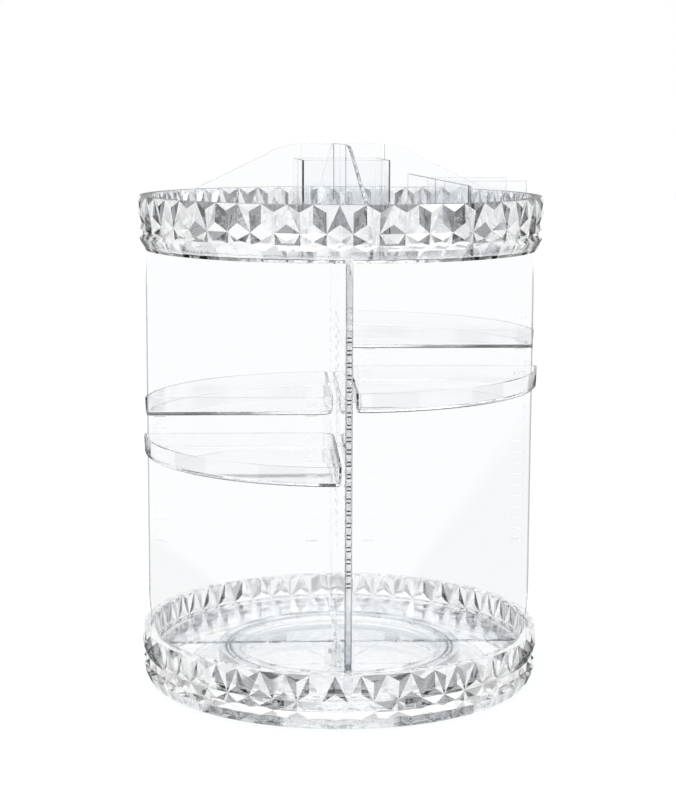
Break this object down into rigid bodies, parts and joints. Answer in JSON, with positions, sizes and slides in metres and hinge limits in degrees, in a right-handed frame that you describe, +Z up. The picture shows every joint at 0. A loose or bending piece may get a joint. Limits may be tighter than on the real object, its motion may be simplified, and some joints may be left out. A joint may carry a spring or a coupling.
{
  "type": "rotating makeup organizer",
  "caption": "Clear round carousel for cosmetics: crossed upright panels between faceted trays, adjustable quarter-round shelves, a lift-out divider insert and a ball-ring turntable foot.",
  "frame": {"origin": "on the table under the turning axis, at the bottom centre of the whole", "axes": "+Z up along the turning axis, the front panel towards -Y, the right panel towards +X"},
  "size_m": [0.2398, 0.2398, 0.323],
  "materials": {
    "clear_plastic": "clear moulded polystyrene, polished",
    "cage_plastic": "natural acetal, satin",
    "bush_plastic": "natural nylon, satin",
    "pad_rubber": "translucent soft rubber",
    "screw_steel": "zinc-plated",
    "ball_steel": "polished"
  },
  "bodies": {
    "foot": {"base_plate": "clear_plastic", "foot_pads": "pad_rubber", "pivot_bush": "bush_plastic"},
    "ball_ring": {"ball_cage": "cage_plastic", "bearing_balls": "ball_steel"},
    "carousel": {"bottom_tray": "clear_plastic", "pivot_screw": "screw_steel", "pivot_washer": "screw_steel", "panel_right": "clear_plastic", "panel_rear": "clear_plastic", "panel_left": "clear_plastic", "panel_front": "clear_plastic", "top_tray": "clear_plastic"},
    "tray_front_left": {"shelf_front_left": "clear_plastic"},
    "tray_rear_left": {"shelf_rear_left": "clear_plastic"},
    "tray_front_right": {"shelf_front_right": "clear_plastic"},
    "tray_rear_right": {"shelf_rear_right": "clear_plastic"},
    "insert": {"divider_plate_left_right": "clear_plastic", "divider_plate_front_rear": "clear_plastic", "brush_collar": "clear_plastic", "lipstick_wall": "clear_plastic", "lipstick_partition_front": "clear_plastic", "lipstick_partition_rear": "clear_plastic"}
  },
  "joints": [
    {"name": "turntable_spin", "type": "hinge", "parent": "foot", "child": "carousel", "pos_m": [0, 0, 0.012], "axis": [0, 0, 1], "continuous": true},
    {"name": "ball_ring_spin", "type": "hinge", "parent": "foot", "child": "ball_ring", "pos_m": [0, 0, 0.01], "axis": [0, 0, 1], "continuous": true},
    {"name": "shelf_front_left_pull_out", "type": "slide", "parent": "carousel", "child": "tray_front_left", "axis": [-0.7071, -0.7071, 0], "range_m": [0, 0.12]},
    {"name": "shelf_rear_left_pull_out", "type": "slide", "parent": "carousel", "child": "tray_rear_left", "axis": [-0.7071, 0.7071, 0], "range_m": [0, 0.12]},
    {"name": "shelf_front_right_pull_out", "type": "slide", "parent": "carousel", "child": "tray_front_right", "axis": [0.7071, -0.7071, 0], "range_m": [0, 0.12]},
    {"name": "shelf_rear_right_pull_out", "type": "slide", "parent": "carousel", "child": "tray_rear_right", "axis": [0.7071, 0.7071, 0], "range_m": [0, 0.12]},
    {"name": "insert_lift_out", "type": "slide", "parent": "carousel", "child": "insert", "axis": [0, 0, 1], "range_m": [0, 0.07]}
  ],
  "couplings": [
    {"joint": "ball_ring_spin", "follows": "turntable_spin", "ratio": 0.5}
  ]
}
